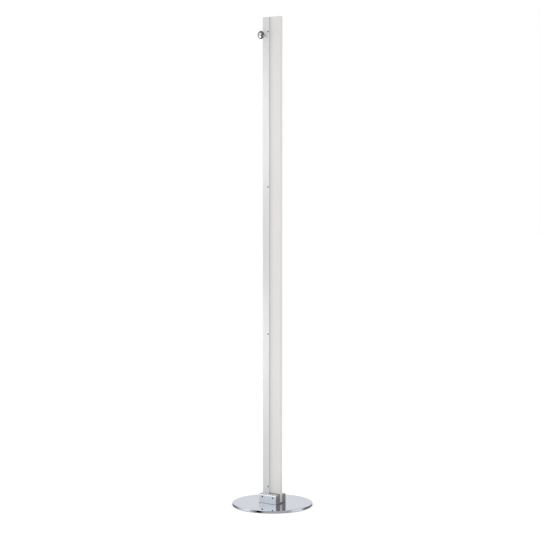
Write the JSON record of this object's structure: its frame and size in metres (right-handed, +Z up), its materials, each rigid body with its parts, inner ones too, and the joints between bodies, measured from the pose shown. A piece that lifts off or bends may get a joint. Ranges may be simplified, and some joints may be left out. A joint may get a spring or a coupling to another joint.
{
  "type": "free-standing display pole",
  "caption": "Tall slim display blade in an aluminium edge rail, clamped in a slotted block on a round chromed base disc, with a screw-on hanging knob near the top.",
  "frame": {"origin": "centre of the foot pad's underside, where the part rests on the floor", "axes": "+Z up along the blade; +X across the blade from the edge rail to the panel's free edge; -Y out of the face that carries the screws and the knob"},
  "size_m": [0.3, 0.3, 1.822],
  "materials": {
    "pad_rubber": "matt closed-cell rubber",
    "mirror_chrome": "mirror chrome plate on steel",
    "zinc_steel": "zinc plated",
    "block_aluminium": "satin anodised, milled",
    "black_oxide": "black oxide",
    "pad_brass": "turned",
    "grey_rubber": "matt",
    "shim_black": "matt black nylon",
    "rail_aluminium": "satin clear anodised extrusion",
    "bare_aluminium": "sawn bar",
    "panel_opal": "satin opal sheet",
    "cap_aluminium": "satin anodised",
    "nylon_white": "natural nylon",
    "knob_chrome": "polished chrome"
  },
  "bodies": {
    "stand": {"base_pad": "pad_rubber", "base_plate": "mirror_chrome", "base_screws": "zinc_steel", "clamp_block": "block_aluminium", "clamp_screws": "black_oxide", "pressure_pads": "pad_brass", "slot_floor_pad": "grey_rubber", "front_shim": "shim_black", "back_shim": "shim_black", "edge_rail": "rail_aluminium", "foot_insert": "bare_aluminium", "blade_panel": "panel_opal", "front_gasket": "grey_rubber", "back_gasket": "grey_rubber", "panel_screws": "black_oxide", "rail_end_cap": "cap_aluminium", "knob_insert": "zinc_steel"},
    "knob_carrier": {"thrust_washer": "nylon_white"},
    "knob": {"knob_stud": "zinc_steel", "knob_neck": "knob_chrome", "knob_head": "knob_chrome"}
  },
  "joints": [
    {"name": "knob_slide", "type": "slide", "parent": "stand", "child": "knob_carrier", "axis": [0, -1, 0], "range_m": [0, 0.003]},
    {"name": "knob_turn", "type": "hinge", "parent": "knob_carrier", "child": "knob", "pos_m": [-0.0315, -0.0071, 1.755], "axis": [0, -1, 0], "range_deg": [0, 1080.1]}
  ],
  "couplings": [
    {"joint": "knob_turn", "follows": "knob_slide", "rad_per_m": 6283.2}
  ]
}
